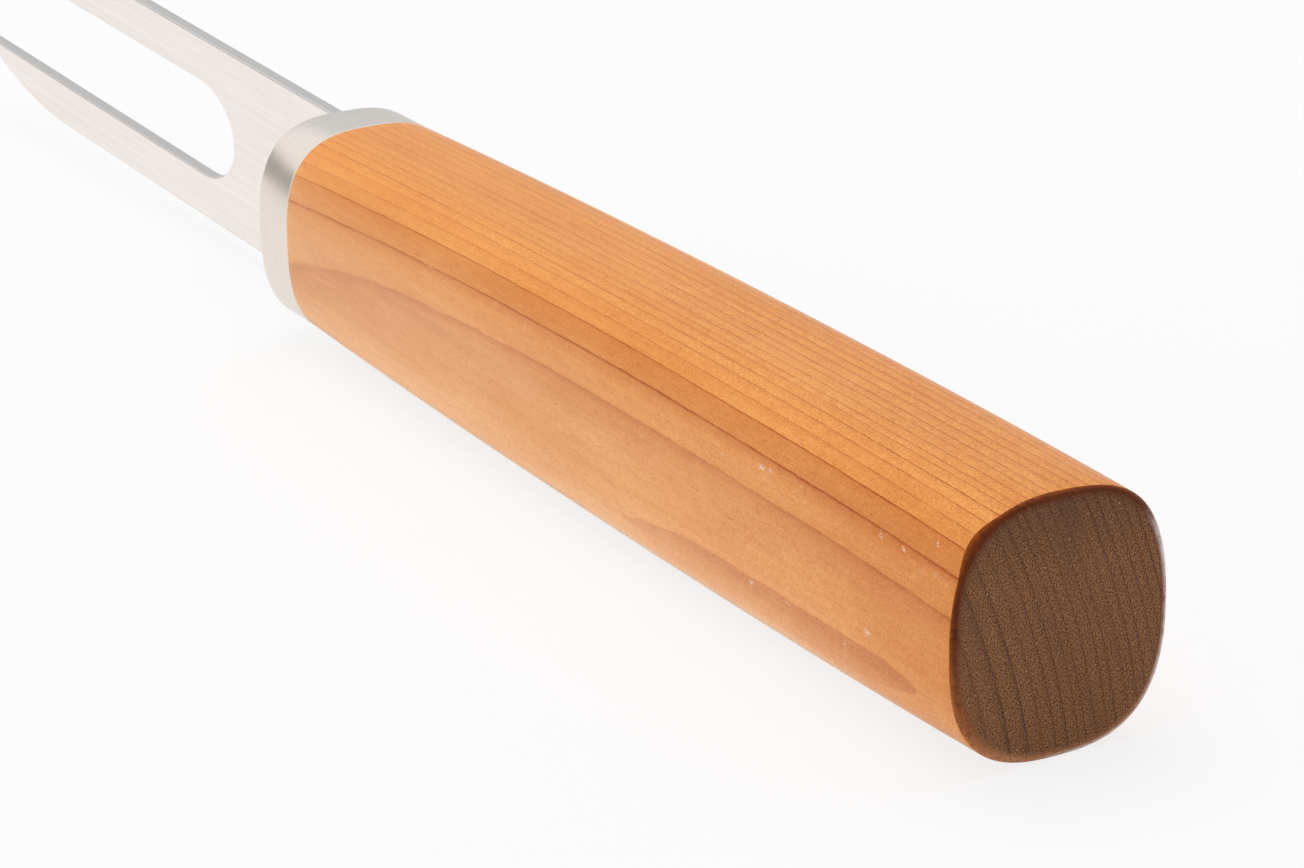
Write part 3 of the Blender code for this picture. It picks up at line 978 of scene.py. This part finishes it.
def white_sheet():
    material, tree, shader, millimetres = new_material("white_sheet")
    fleck = stretched_noise(tree, millimetres.outputs[0], PAPER_GRAIN, detail=4.0)
    feed(tree, shader.inputs["Base Color"], mix_colours(tree, fleck, PAPER_DARK, PAPER_LIGHT))
    shader.inputs["Roughness"].default_value = PAPER_ROUGHNESS
    shader.inputs["Specular IOR Level"].default_value = 0.0
    glow = place(tree, "ShaderNodeEmission", {"Strength": 1.0})
    share = calc(tree, "MULTIPLY", seen_or_mirrored(tree), FLOOR_OWN_WHITE)
    both = place(tree, "ShaderNodeMixShader", {0: share})
    tree.links.new(shader.outputs[0], both.inputs[1])
    tree.links.new(glow.outputs[0], both.inputs[2])
    tree.links.new(both.outputs[0], tree.nodes["Material Output"].inputs["Surface"])
    return material


def flat_sheet(name, size, spot, material):
    """A flat rectangle of the given width and height, turned and moved to its spot."""
    corners = [spot @ Vector((size[0] / 2 * x, size[1] / 2 * y, 0.0)) for x, y in SQUARE]
    mesh = bpy.data.meshes.new(name)
    mesh.from_pydata(corners, [], [range(len(corners))])
    mesh.materials.append(material)
    sheet = bpy.data.objects.new(name, mesh)
    bpy.context.collection.objects.link(sheet)
    return sheet


floor_spot = Matrix.Translation((0.0, 0.0, cad_box[0].z - SEAM))
floor = flat_sheet("floor", (FLOOR_SIZE, FLOOR_SIZE), floor_spot, white_sheet())


# Studio light: a white room, two large soft lamps above and to the left behind the fork, and three
# cards that only show in reflections, which draw the dark corner and the grey top of the bolster
# and the bright band between them.
WORLD_LEVEL = 0.45
WHITE = (1.0, 1.0, 1.0, 1.0)
scene = bpy.context.scene
scene.view_settings.view_transform = "Standard"


def make_world():
    world = bpy.data.worlds.new("white_room")
    scene.world = world
    world.use_nodes = True
    tree = world.node_tree
    tree.nodes.clear()
    light = place(tree, "ShaderNodeBackground", {"Color": WHITE, "Strength": WORLD_LEVEL})
    white = place(tree, "ShaderNodeBackground", {"Color": WHITE, "Strength": 1.0})
    both = place(tree, "ShaderNodeMixShader", {0: seen_or_mirrored(tree)})
    tree.links.new(light.outputs[0], both.inputs[1])
    tree.links.new(white.outputs[0], both.inputs[2])
    tree.links.new(both.outputs[0], place(tree, "ShaderNodeOutputWorld").inputs["Surface"])


def make_soft_lamp(name, position, size, power):
    lamp = bpy.data.lights.new(name, "AREA")
    lamp.shape = "RECTANGLE"
    lamp.size, lamp.size_y = size
    lamp.energy = power
    holder = bpy.data.objects.new(name, lamp)
    holder.location = position
    aim = Vector((0.0, 0.0, axis_z)) - Vector(position)
    holder.rotation_euler = aim.to_track_quat("-Z", "Y").to_euler()
    holder.visible_camera = False
    holder.visible_glossy = False
    bpy.context.collection.objects.link(holder)


def make_card(name, direction, distance, size, tone):
    """A card that faces the fork and shows only in what mirrors it."""
    material, tree = new_material(name)[:2]
    glow = place(tree, "ShaderNodeEmission", {"Color": (*tone, 1.0), "Strength": 1.0})
    tree.links.new(glow.outputs[0], tree.nodes["Material Output"].inputs["Surface"])
    facing = Vector(direction).normalized()
    turn = facing.to_track_quat("Z", "Y").to_matrix().to_4x4()
    spot = Matrix.Translation(Vector((joint_x, 0.0, axis_z)) + facing * distance) @ turn
    card = flat_sheet(name, size, spot, material)
    card.visible_camera = False
    card.visible_diffuse = False
    card.visible_shadow = False


make_world()
make_soft_lamp("top_lamp", position=(-0.15, 0.05, 0.80), size=(0.9, 0.9), power=3.8)
make_soft_lamp("left_lamp", position=(-0.35, -0.78, 0.18), size=(0.9, 0.6), power=2.7)
make_card("right_card", direction=(-0.81, 0.46, 0.36), distance=0.8, size=(0.8, 0.7),
          tone=(0.66, 0.69, 0.72))
make_card("left_card", direction=(-0.81, -0.58, 0.12), distance=0.6, size=(0.6, 0.22),
          tone=(0.33, 0.33, 0.33))
make_card("bright_card", direction=(-0.81, -0.07, 0.57), distance=0.7, size=(0.30, 0.20),
          tone=(0.98, 1.01, 1.05))


# Camera: low behind the butt and to its left, close, with a long lens, as the fork was photographed.
# Its place is given from the joint between handle and bolster, and its lens in the photo's pixels.
PHOTO_WIDTH = 1304
FOCAL_PIXELS = 4700
CAMERA_FROM_JOINT = (0.42360, -0.20809, 0.15399)
CAMERA_FORWARD = (-0.81314, 0.46294, -0.35283)
CAMERA_ROLL = math.radians(-1.09)
SENSOR_WIDTH = 36.0
NEAREST_SEEN = 0.01
FARTHEST_SEEN = 50.0

camera_data = bpy.data.cameras.new("camera")
camera_data.sensor_fit = "HORIZONTAL"
camera_data.sensor_width = SENSOR_WIDTH
camera_data.lens = SENSOR_WIDTH * FOCAL_PIXELS / PHOTO_WIDTH
camera_data.clip_start = NEAREST_SEEN
camera_data.clip_end = FARTHEST_SEEN
camera = bpy.data.objects.new("camera", camera_data)
camera.location = Vector((joint_x, 0.0, axis_z)) + Vector(CAMERA_FROM_JOINT)
level_view = Vector(CAMERA_FORWARD).to_track_quat("-Z", "Y").to_matrix()
camera.rotation_euler = (level_view @ Matrix.Rotation(CAMERA_ROLL, 3, "Z")).to_euler()
bpy.context.collection.objects.link(camera)
scene.camera = camera
